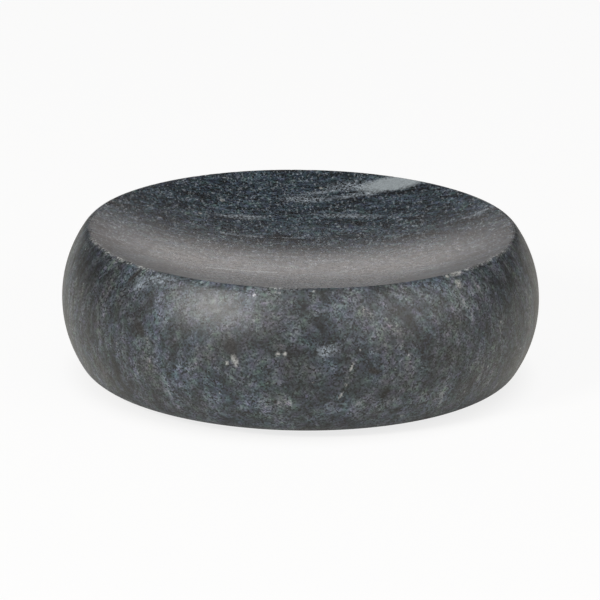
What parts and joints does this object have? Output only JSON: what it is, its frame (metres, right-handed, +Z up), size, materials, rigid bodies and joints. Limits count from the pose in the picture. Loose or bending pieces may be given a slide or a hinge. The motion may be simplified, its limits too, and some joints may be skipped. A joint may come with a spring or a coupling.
{
  "type": "soap dish",
  "caption": "Round turned dark grey marble soap dish with a bulging side, a shallow spherical bowl and rubber feet under its flat base.",
  "frame": {"origin": "on the table, under the middle of the dish, in the plane of the feet's lower faces", "axes": "+Z up along the axis that the stone is turned about, -Y towards the picture's viewer"},
  "size_m": [0.11, 0.11, 0.0349],
  "materials": {
    "marble": "bowl polished, outside honed",
    "foot_rubber": "moulded rubber, matte",
    "adhesive": "pressure-sensitive film, satin"
  },
  "bodies": {
    "root": {"stone_dish": "marble", "rubber_foot_1": "foot_rubber", "rubber_foot_2": "foot_rubber", "rubber_foot_3": "foot_rubber", "rubber_foot_4": "foot_rubber", "foot_adhesive_1": "adhesive", "foot_adhesive_2": "adhesive", "foot_adhesive_3": "adhesive", "foot_adhesive_4": "adhesive"}
  },
  "joints": []
}
